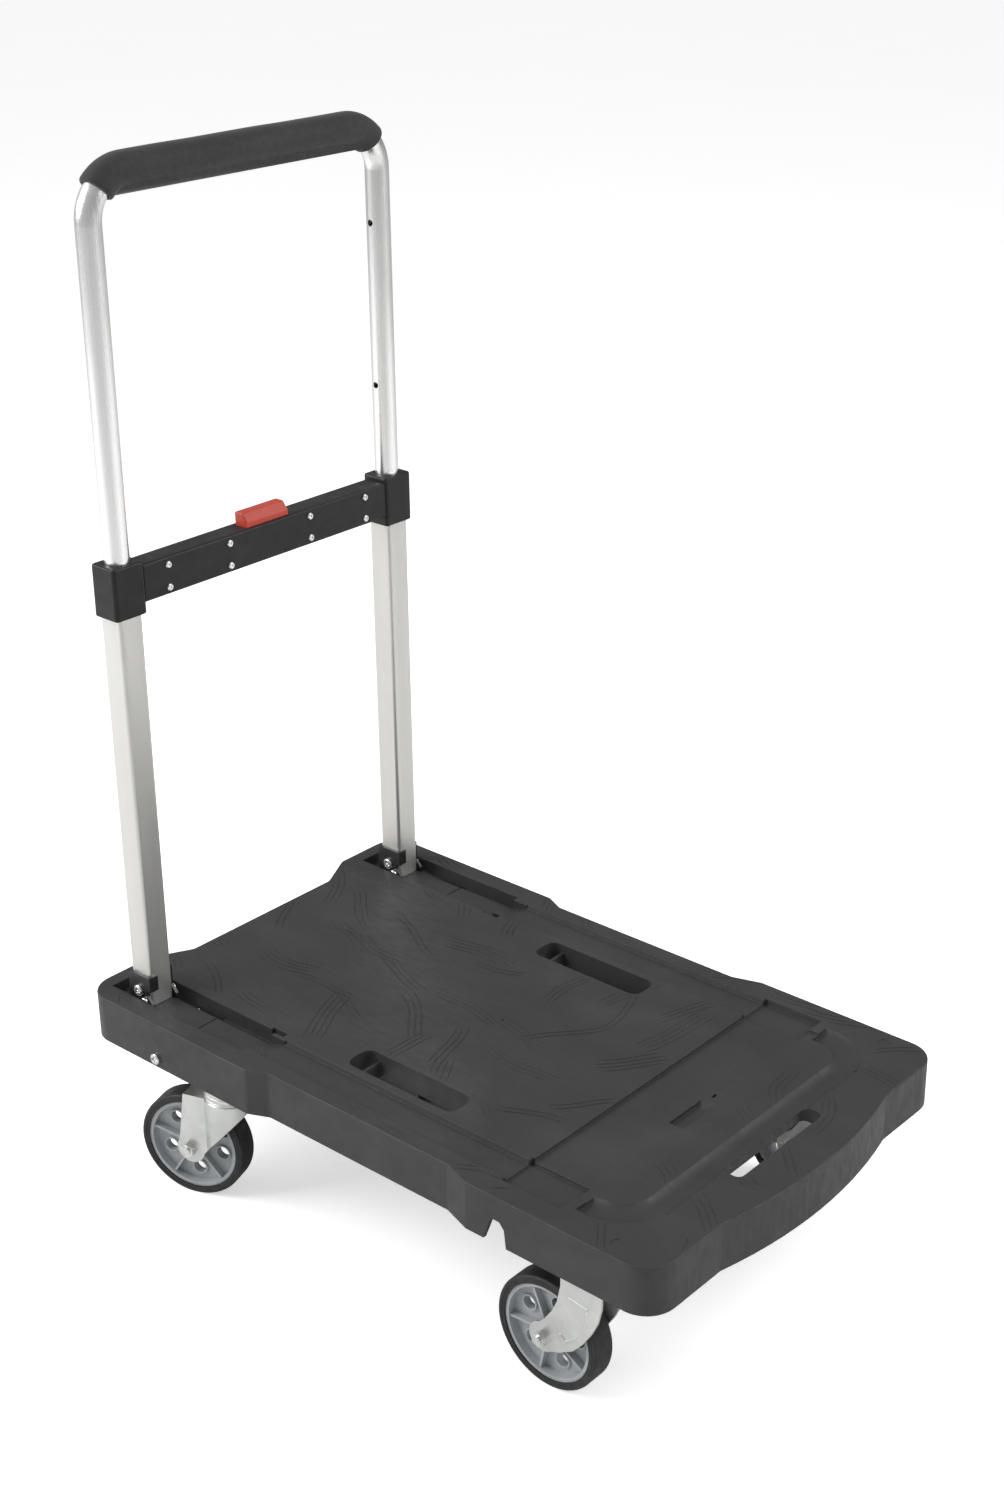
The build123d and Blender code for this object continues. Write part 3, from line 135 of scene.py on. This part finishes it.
class Surface:
    """A Principled material whose colour, roughness and bump come from noise on the piece itself."""

    def __init__(self, name, metallic=0.0, **sockets):
        self.material = bpy.data.materials.new(name)
        self.material.use_nodes = True
        self.nodes = self.material.node_tree.nodes
        self.links = self.material.node_tree.links
        self.shader = self.nodes["Principled BSDF"]
        self.shader.inputs["Metallic"].default_value = metallic
        for socket, value in sockets.items():
            self.shader.inputs[socket.replace("_", " ")].default_value = value
        self.coordinates = self.nodes.new("ShaderNodeTexCoord").outputs["Object"]
        self.normal = None

    def soften(self, radius):
        """Rounds the look of sharp edges, as moulding and folding do."""
        bevel = self.nodes.new("ShaderNodeBevel")
        bevel.samples = BEVEL_SAMPLES
        bevel.inputs["Radius"].default_value = radius
        self.normal = bevel.outputs["Normal"]

    def noise(self, scale, stretch=(1, 1, 1), detail=4.0, distortion=0.0):
        """A noise value over the piece; stretch packs it tighter along an axis, or draws it out."""
        mapping = self.nodes.new("ShaderNodeMapping")
        mapping.inputs["Scale"].default_value = stretch
        texture = self.nodes.new("ShaderNodeTexNoise")
        texture.inputs["Scale"].default_value = scale
        texture.inputs["Detail"].default_value = detail
        texture.inputs["Distortion"].default_value = distortion
        self.links.new(self.coordinates, mapping.inputs["Vector"])
        self.links.new(mapping.outputs["Vector"], texture.inputs["Vector"])
        return texture.outputs["Fac"]

    def ramp(self, factor, stops):
        """Turns a value into a colour through (place, colour) stops."""
        ramp = self.nodes.new("ShaderNodeValToRGB")
        elements = ramp.color_ramp.elements
        while len(elements) < len(stops):
            elements.new(0.5)
        for element, (place, colour) in zip(elements, stops):
            element.position = place
            element.color = (*colour, 1)
        self.links.new(factor, ramp.inputs["Fac"])
        return ramp.outputs["Color"]

    def colour(self, factor, stops):
        self.links.new(self.ramp(factor, stops), self.shader.inputs["Base Color"])

    def roughness(self, factor, low, high):
        """Spreads the middle of a noise value over a range of roughness."""
        spread = self.nodes.new("ShaderNodeMapRange")
        spread.inputs["From Min"].default_value = NOISE_LOW
        spread.inputs["From Max"].default_value = NOISE_HIGH
        spread.inputs["To Min"].default_value = low
        spread.inputs["To Max"].default_value = high
        self.links.new(factor, spread.inputs["Value"])
        self.links.new(spread.outputs["Result"], self.shader.inputs["Roughness"])

    def bump(self, factor, distance, strength):
        """Adds a fine relief on top of any relief or softening set before."""
        bump = self.nodes.new("ShaderNodeBump")
        bump.inputs["Strength"].default_value = strength
        bump.inputs["Distance"].default_value = distance
        self.links.new(factor, bump.inputs["Height"])
        if self.normal is not None:
            self.links.new(self.normal, bump.inputs["Normal"])
        self.normal = bump.outputs["Normal"]
        self.links.new(self.normal, self.shader.inputs["Normal"])


def deck_plastic():
    """Textured charcoal polypropylene, slightly cloudy, with faint streaks along the deck."""
    s = Surface("charcoal_moulding", Specular_IOR_Level=0.35)
    clouds = s.noise(9.0, (1, 1.6, 1), 5.0, 0.6)
    s.colour(clouds, [
        (0.3, (0.034, 0.034, 0.036)), (0.55, (0.041, 0.041, 0.043)), (0.75, (0.051, 0.051, 0.052))])
    s.roughness(s.noise(60.0, (1, 3, 1)), 0.42, 0.6)
    s.soften(0.0012)
    s.bump(s.noise(1400.0, detail=2.0), 0.00012, 0.35)
    s.bump(s.noise(26.0, detail=3.0), 0.0006, 0.25)
    return s.material


def black_plastic():
    """Near-black mouldings: crossbar shells, sleeves and plugs."""
    s = Surface("black_moulding", Specular_IOR_Level=0.33)
    s.colour(s.noise(22.0), [(0.35, grey(0.008)), (0.7, grey(0.013))])
    s.roughness(s.noise(90.0), 0.34, 0.5)
    s.soften(0.0008)
    s.bump(s.noise(1800.0, detail=2.0), 0.0001, 0.3)
    return s.material


def nylon():
    """Dark grey bushes of the tube and the wheels."""
    s = Surface("nylon")
    s.colour(s.noise(40.0), [(0.35, (0.05, 0.05, 0.052)), (0.7, (0.075, 0.075, 0.078))])
    s.roughness(s.noise(200.0), 0.45, 0.6)
    s.bump(s.noise(900.0), 0.0001, 0.2)
    return s.material


def black_steel():
    """Painted hinge arms."""
    s = Surface("black_steel", Coat_Weight=0.25, Coat_Roughness=0.25)
    s.colour(s.noise(70.0), [(0.3, (0.008, 0.008, 0.009)), (0.75, (0.02, 0.02, 0.021))])
    s.roughness(s.noise(120.0), 0.32, 0.5)
    s.bump(s.noise(500.0, detail=3.0), 0.00015, 0.25)
    return s.material


def leg_aluminium():
    """Satin anodised extrusion with faint draw lines up its length."""
    s = Surface("satin_aluminium", metallic=0.85)
    s.colour(s.noise(14.0, (1, 1, 0.2)), [(0.3, (0.62, 0.615, 0.59)), (0.7, (0.7, 0.695, 0.67))])
    s.roughness(s.noise(320.0, (1, 1, 0.01)), 0.38, 0.5)
    s.bump(s.noise(900.0, (1, 1, 0.012)), 0.00006, 0.3)
    return s.material


def tube_aluminium():
    """Bright brushed tube with fine lines along it and a few rubbed places."""
    s = Surface("bright_aluminium", metallic=0.95)
    rubbed = s.noise(11.0, (2, 2, 0.35), 6.0, 0.5)
    s.colour(rubbed, [(0.32, (0.8, 0.8, 0.79)), (0.5, (0.88, 0.88, 0.875)), (0.72, grey(0.92))])
    s.roughness(s.noise(420.0, (1, 1, 0.012)), 0.2, 0.32)
    s.bump(s.noise(1300.0, (1, 1, 0.01)), 0.00005, 0.3)
    return s.material


def zinc_plate():
    """Zinc-plated pressing with a soft mottle."""
    s = Surface("zinc_plate", metallic=0.9)
    s.colour(s.noise(38.0, detail=6.0, distortion=0.8), [
        (0.3, (0.6, 0.61, 0.59)), (0.55, (0.68, 0.69, 0.67)), (0.75, (0.76, 0.765, 0.75))])
    s.roughness(s.noise(75.0, detail=5.0), 0.28, 0.46)
    s.soften(0.0006)
    s.bump(s.noise(160.0, detail=4.0), 0.0002, 0.25)
    return s.material


def bright_fastener():
    """Plated axles, kingpins, bolts, rivets and screws."""
    s = Surface("bright_fastener", metallic=1.0)
    s.colour(s.noise(150.0), [(0.3, grey(0.6)), (0.7, (0.82, 0.82, 0.81))])
    s.roughness(s.noise(300.0), 0.18, 0.34)
    s.bump(s.noise(600.0), 0.0001, 0.2)
    return s.material


def spring_steel():
    """The button spring and the lock pins."""
    s = Surface("spring_steel", metallic=1.0)
    s.colour(s.noise(200.0), [(0.3, (0.45, 0.45, 0.46)), (0.7, (0.62, 0.62, 0.63))])
    s.roughness(s.noise(260.0), 0.25, 0.4)
    s.bump(s.noise(700.0), 0.00008, 0.2)
    return s.material


def red_plastic():
    """The release button."""
    s = Surface("red_moulding", Coat_Weight=0.15, Coat_Roughness=0.2)
    s.colour(s.noise(55.0), [(0.3, (0.46, 0.03, 0.012)), (0.7, (0.53, 0.042, 0.018))])
    s.roughness(s.noise(140.0), 0.34, 0.48)
    s.bump(s.noise(1500.0, detail=2.0), 0.0001, 0.25)
    return s.material


def foam():
    """Closed-cell foam: dull, finely pored, a little paler in places."""
    s = Surface("grip_foam", Sheen_Weight=0.12, Sheen_Roughness=0.5, Specular_IOR_Level=0.4)
    s.colour(s.noise(30.0, (1, 0.5, 1), 5.0), [(0.3, (0.021, 0.021, 0.022)), (0.7, (0.033, 0.033, 0.034))])
    s.roughness(s.noise(220.0), 0.62, 0.8)
    s.bump(s.noise(2600.0, detail=2.0), 0.0002, 0.5)
    s.bump(s.noise(130.0, (1, 0.4, 1)), 0.0004, 0.25)
    return s.material


def hub_plastic():
    """Mid-grey wheel hubs."""
    s = Surface("hub_moulding")
    s.colour(s.noise(45.0), [(0.3, (0.36, 0.38, 0.395)), (0.7, (0.44, 0.46, 0.475))])
    s.roughness(s.noise(130.0), 0.36, 0.52)
    s.soften(0.0008)
    s.bump(s.noise(1100.0, detail=2.0), 0.0001, 0.25)
    return s.material


def tyre_rubber():
    """Dull rubber, slightly dusty in places."""
    s = Surface("tyre_rubber")
    s.colour(s.noise(48.0, detail=6.0), [
        (0.35, (0.012, 0.012, 0.012)), (0.6, (0.018, 0.018, 0.018)), (0.8, (0.032, 0.031, 0.03))])
    s.roughness(s.noise(110.0, detail=4.0), 0.5, 0.7)
    s.bump(s.noise(700.0, detail=3.0), 0.00018, 0.35)
    return s.material


MATERIALS = {
    "deck_plastic": deck_plastic(),
    "fastener_steel": bright_fastener(),
    "caster_steel": zinc_plate(),
    "black_steel": black_steel(),
    "leg_aluminium": leg_aluminium(),
    "tube_aluminium": tube_aluminium(),
    "black_plastic": black_plastic(),
    "nylon": nylon(),
    "button_red": red_plastic(),
    "spring_steel": spring_steel(),
    "grip_foam": foam(),
    "hub_plastic": hub_plastic(),
    "tyre_rubber": tyre_rubber(),
}


def dress_nodes():
    """Gives every CAD node the material of its slot."""
    for part in frame["record"]["subparts"]:
        piece = frame["nodes"][part["node"]]
        material = MATERIALS[part["material_slot"]]
        if not piece.material_slots:
            piece.data.materials.append(material)
        for place in piece.material_slots:
            place.material = material


def new_piece(name, vertices, faces, slot, body):
    """A smooth mesh piece at its rest place that rides on a body and takes a slot's material."""
    mesh = bpy.data.meshes.new(name)
    mesh.from_pydata(vertices, [], faces)
    mesh.update()
    for polygon in mesh.polygons:
        polygon.use_smooth = True
    mesh.materials.append(MATERIALS[slot])
    piece = bpy.data.objects.new(name, mesh)
    bpy.context.scene.collection.objects.link(piece)
    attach(piece, body)
    return piece


# ---- foam grip -------------------------------------------------------------------------
def foam_profile(radius):
    """(radius, run) pairs round the cut end of the foam, from the tube's skin outwards."""
    points = [(TUBE_RADIUS + LIP_GAP, GRIP_EDGE * LIP_DEPTH), (TUBE_RADIUS + LIP_WIDTH, 0.0)]
    for k in range(EDGE_STEPS + 1):
        a = math.pi / 2 * k / EDGE_STEPS
        points.append((radius - GRIP_EDGE * (1 - math.sin(a)), GRIP_EDGE * (1 - math.cos(a))))
    return points


def handle_point(run, centre, half, straight):
    """Point and outward frame on the grip's centre line, at a signed distance from its middle."""
    side = 1 if run > 0 else -1
    beyond = abs(run) - half
    if beyond <= 0:
        return Vector((centre.x, run, straight)), Vector((0, 0, 1))
    a = beyond / TUBE_BEND
    y, z = half + TUBE_BEND * math.sin(a), straight - TUBE_BEND * (1 - math.cos(a))
    return Vector((centre.x, side * y, z)), Vector((0, side * math.sin(a), math.cos(a)))


def grip_rings(reach, radius):
    """(run, radius) of every ring of the foam's skin, from one cut end to the other."""
    end = foam_profile(radius)
    rings = [(-reach + run, r) for r, run in end]
    for k in range(1, GRIP_RINGS):
        rings.append(((reach - GRIP_EDGE) * (2 * k / GRIP_RINGS - 1), radius))
    return rings + [(reach - run, r) for r, run in reversed(end)]


def foam_relief(run, a, pinch):
    """How far the skin stands from its mean radius: a slow sway, and creases inside the bends."""
    sway = noise.noise(Vector((run * SWAY_ALONG, math.cos(a) * SWAY_AROUND, math.sin(a) * SWAY_AROUND)))
    crease = CREASE_DEPTH * pinch * max(0.0, -math.cos(a)) * math.sin(run * CREASE_PITCH)
    return FOAM_SWAY * sway - abs(crease)


def closed_skin(rings, sides):
    """Faces between neighbouring rings of vertices, the last ring joined to the first."""
    faces = []
    for i in range(rings):
        here, there = i * sides, (i + 1) % rings * sides
        for k in range(sides):
            n = (k + 1) % sides
            faces.append((here + k, here + n, there + n, there + k))
    return faces


def make_grip():
    """Foam sleeve over the top run and part of each bend, gently uneven, with rounded cut ends."""
    low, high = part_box("grip")
    tube_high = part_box("handle_tube")[1]
    radius = (high.x - low.x) / 2
    centre = (low + high) / 2
    straight = high.z - radius
    half = tube_high.y - TUBE_RADIUS - TUBE_BEND
    reach = half + TUBE_BEND * GRIP_BEND_ANGLE
    rings = grip_rings(reach, radius - FOAM_INSET)
    vertices = []
    for run, r in rings:
        place, outward = handle_point(run, centre, half, straight)
        pinch = max(0.0, abs(run) - half) / (reach - half)
        soft = min(1.0, (r - TUBE_RADIUS) / (radius - TUBE_RADIUS))
        for k in range(GRIP_SIDES):
            a = 2 * math.pi * k / GRIP_SIDES
            direction = outward * math.cos(a) + Vector((1, 0, 0)) * math.sin(a)
            vertices.append(place + direction * (r + soft * foam_relief(run, a, pinch)))
    faces = closed_skin(len(rings), GRIP_SIDES)
    grip = new_piece("foam_grip", vertices, faces, "grip_foam", "telescope")
    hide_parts("grip")


# ---- embossed waves on the deck --------------------------------------------------------
def deck_tree():
    """The deck's surface, ready for rays from above."""
    mesh = frame["nodes"]["deck"].data
    corners = [vertex.co.copy() for vertex in mesh.vertices]
    return BVHTree.FromPolygons(corners, [list(face.vertices) for face in mesh.polygons])


def wave_line(centre, angle, offset, length, swing, phase):
    """Points of one S-shaped line of a group, offset sideways from the group's centre."""
    along = Vector((math.cos(angle), math.sin(angle)))
    across = Vector((-along.y, along.x))
    points = []
    for k in range(WAVE_STEPS + 1):
        t = k / WAVE_STEPS - 0.5
        side = offset + swing * math.sin(2 * math.pi * (t * WAVE_TURNS + phase))
        points.append(centre + along * (t * length) + across * side)
    return points


def on_face(tree, point, top):
    """True where the load face is at full height round a point."""
    down = Vector((0, 0, -1))
    for dx, dy in ((0, 0), (1, 0), (-1, 0), (0, 1), (0, -1)):
        above = Vector((point.x + dx * PROBE_REACH, point.y + dy * PROBE_REACH, top + PROBE_HEIGHT))
        hit = tree.ray_cast(above, down)[0]
        if hit is None or abs(hit.z - top) > FLAT_WITHIN:
            return False
    return True


def add_ridge(points, top, vertices, faces):
    """A low ridge along a run of points, tapering out at both ends."""
    start = len(vertices)
    for k, point in enumerate(points):
        before, after = points[max(k - 1, 0)], points[min(k + 1, len(points) - 1)]
        along = (after - before).normalized()
        across = Vector((-along.y, along.x))
        taper = min(1.0, k / TAPER_STEPS, (len(points) - 1 - k) / TAPER_STEPS)
        half = RIDGE_WIDTH / 2 * (END_SHARE + (1 - END_SHARE) * taper)
        rise = RIDGE_HEIGHT * taper
        section = ((-1, -RIDGE_SUNK), (-RIDGE_CREST, rise), (RIDGE_CREST, rise), (1, -RIDGE_SUNK))
        for sideways, height in section:
            spot = point + across * (sideways * half)
            vertices.append((spot.x, spot.y, top + height))
    for k in range(len(points) - 1):
        a, b = start + 4 * k, start + 4 * (k + 1)
        faces.extend((a + j, a + j + 1, b + j + 1, b + j) for j in range(3))
        faces.append((a + 3, a, b, b + 3))
    faces.append((start + 3, start + 2, start + 1, start))
    end = start + 4 * (len(points) - 1)
    faces.append((end, end + 1, end + 2, end + 3))


def pick_spot(rng, low, i, j):
    """A loosely random place in one cell of the deck's pattern."""
    x = low.x + (i + rng.uniform(CELL_MARGIN, 1 - CELL_MARGIN)) * CELL
    y = low.y + (j + rng.uniform(CELL_MARGIN, 1 - CELL_MARGIN)) * CELL
    return Vector((x, y))


def whole_stretches(points, tree, top):
    """The stretches of one line that lie on the full-height load face."""
    stretches = [[]]
    for point in points:
        if on_face(tree, point, top):
            stretches[-1].append(point)
        else:
            stretches.append([])
    return [stretch for stretch in stretches if len(stretch) > LEAST_POINTS]


def make_embossing():
    """Groups of parallel wavy ridges over the load face, broken off at its recesses."""
    rng = random.Random(SEED)
    tree = deck_tree()
    low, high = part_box("deck")
    vertices, faces = [], []
    columns, rows = int((high.x - low.x) / CELL), int((high.y - low.y) / CELL)
    for i in range(columns + 1):
        for j in range(rows + 1):
            spot = pick_spot(rng, low, i, j)
            flow = noise.noise(Vector((spot.x * FLOW_SCALE, spot.y * FLOW_SCALE, FLOW_LEVEL)))
            angle = math.pi * flow + rng.uniform(-ANGLE_SPREAD, ANGLE_SPREAD)
            lines, length = rng.choice(LINE_COUNTS), rng.uniform(*LINE_LENGTHS)
            swing, phase = rng.uniform(*LINE_SWINGS), rng.random()
            for n in range(lines):
                offset = (n - (lines - 1) / 2) * RIDGE_SPACING
                points = wave_line(spot, angle, offset, length * rng.uniform(*LINE_TRIMS), swing, phase)
                for stretch in whole_stretches(points, tree, high.z):
                    add_ridge(stretch, high.z, vertices, faces)
    new_piece("deck_embossing", vertices, faces, "deck_plastic", "platform")


# ---- wheels ----------------------------------------------------------------------------
def ring_mesh(centre, turn, radius, offset, vertices, faces):
    """Adds a thin torus about an axis to a mesh's lists."""
    start = len(vertices)
    for i in range(RING_SIDES):
        a = 2 * math.pi * i / RING_SIDES
        for k in range(RING_SECTION):
            b = 2 * math.pi * k / RING_SECTION
            r = radius + RING_WIDTH * math.cos(b)
            spot = Vector((r * math.cos(a), r * math.sin(a), offset + RING_RISE * math.sin(b)))
            vertices.append(centre + turn @ spot)
    for i in range(RING_SIDES):
        here, there = start + i * RING_SECTION, start + (i + 1) % RING_SIDES * RING_SECTION
        for k in range(RING_SECTION):
            m = (k + 1) % RING_SECTION
            faces.append((here + k, there + k, there + m, here + m))


def make_sidewall_rings():
    """A fine raised ring on each tyre's sidewalls."""
    for wheel in ("front_right", "front_left", "rear_right", "rear_left"):
        low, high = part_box("tyre_" + wheel)
        joint = JOINTS["wheel_spin_" + wheel]
        axis = Vector(joint["axis"]).normalized()
        turn = Vector((0, 0, 1)).rotation_difference(axis).to_matrix()
        vertices, faces = [], []
        for face in (-1, 1):
            ring_mesh(Vector(joint["pos_m"]), turn, (high.z - low.z) / 2 - RING_DEPTH,
                      face * TYRE_HALF, vertices, faces)
        new_piece("sidewall_rings_" + wheel, vertices, faces, "tyre_rubber", "wheel_" + wheel)


# ---- button spring ---------------------------------------------------------------------
def shorten_spring():
    """Gives the button spring a mesh of its own; its shape is left as it is."""
    spring = frame["nodes"]["button_spring"]
    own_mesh(spring)


# ---- studio ----------------------------------------------------------------------------
def for_camera(nodes, links, seen, other):
    """A value that differs between the camera's own rays and every other ray."""
    rays = nodes.new("ShaderNodeLightPath")
    choice = nodes.new("ShaderNodeMix")
    choice.inputs["B"].default_value = seen
    if isinstance(other, float):
        choice.inputs["A"].default_value = other
    else:
        links.new(other, choice.inputs["A"])
    links.new(rays.outputs["Is Camera Ray"], choice.inputs["Factor"])
    return choice.outputs["Result"]


def make_floor():
    """Plain pale paper under the cart."""
    mesh = bpy.data.meshes.new("studio_floor")
    r = FLOOR_HALF
    mesh.from_pydata([(-r, -r, 0), (r, -r, 0), (r, r, 0), (-r, r, 0)], [], [(0, 1, 2, 3)])
    floor = bpy.data.objects.new("studio_floor", mesh)
    bpy.context.scene.collection.objects.link(floor)
    s = Surface("studio_paper", Emission_Color=(1, 1, 1, 1))
    s.colour(s.noise(3.0), [(0.3, (0.93, 0.93, 0.93)), (0.7, (0.95, 0.95, 0.95))])
    s.roughness(s.noise(8.0), 0.85, 0.95)
    s.links.new(for_camera(s.nodes, s.links, PAPER_GLOW, 0.0), s.shader.inputs["Emission Strength"])
    mesh.materials.append(s.material)


def area_light(name, place, target, size, power):
    """A soft rectangular light, its power in watts, turned towards a target."""
    light = bpy.data.lights.new(name, "AREA")
    light.shape = "RECTANGLE"
    light.size, light.size_y = size
    light.energy = power
    lamp = bpy.data.objects.new(name, light)
    lamp.location = place
    lamp.rotation_euler = (Vector(target) - Vector(place)).to_track_quat("-Z", "Y").to_euler()
    bpy.context.scene.collection.objects.link(lamp)


def make_world():
    """White to the camera; as a light it is brighter on the camera's left than on its right."""
    world = bpy.data.worlds.new("studio")
    world.use_nodes = True
    nodes, links = world.node_tree.nodes, world.node_tree.links
    direction = nodes.new("ShaderNodeTexCoord")
    towards = nodes.new("ShaderNodeVectorMath")
    towards.operation = "DOT_PRODUCT"
    towards.inputs[1].default_value = LIGHT_SIDE.normalized()
    level = nodes.new("ShaderNodeMath")
    level.operation = "MULTIPLY_ADD"
    level.inputs[1].default_value = LIGHT_SWING
    level.inputs[2].default_value = LIGHT_MEAN
    links.new(direction.outputs["Generated"], towards.inputs[0])
    links.new(towards.outputs["Value"], level.inputs[0])
    strength = for_camera(nodes, links, 1.0, level.outputs["Value"])
    links.new(strength, nodes["Background"].inputs["Strength"])
    nodes["Background"].inputs["Color"].default_value = (1, 1, 1, 1)
    bpy.context.scene.world = world


def make_lights():
    """Soft light from the camera's left, a weaker one from its right and a little from above."""
    area_light("left", (-1.9, -1.9, 1.9), (-0.5, -0.5, 0.1), (2.0, 2.0), 68)
    area_light("right", (1.9, 1.3, 1.9), (0.5, 0.4, 0.1), (1.8, 1.8), 46)
    area_light("top", (0.0, 0.0, 3.4), (0, 0, 0), (2.6, 2.6), 8)


def make_camera():
    """A camera on a sphere round its target, rolled a little."""
    back = Vector((math.sin(CAMERA_AZIMUTH) * math.cos(CAMERA_ELEVATION),
                   -math.cos(CAMERA_AZIMUTH) * math.cos(CAMERA_ELEVATION), math.sin(CAMERA_ELEVATION)))
    right = Vector((math.cos(CAMERA_AZIMUTH), math.sin(CAMERA_AZIMUTH), 0))
    up = back.cross(right)
    turn = Matrix((right, up, back)).transposed() @ Matrix.Rotation(CAMERA_ROLL, 3, "Z")
    data = bpy.data.cameras.new("camera")
    data.lens = CAMERA_LENS
    data.shift_x, data.shift_y = CAMERA_SHIFT
    camera = bpy.data.objects.new("camera", data)
    camera.matrix_world = Matrix.Translation(CAMERA_TARGET + back * CAMERA_DISTANCE) @ turn.to_4x4()
    bpy.context.scene.collection.objects.link(camera)
    bpy.context.scene.camera = camera


dress_nodes()
make_grip()
make_embossing()
make_sidewall_rings()
shorten_spring()
make_floor()
make_world()
make_lights()
make_camera()
bpy.context.scene.view_settings.view_transform = "Standard"
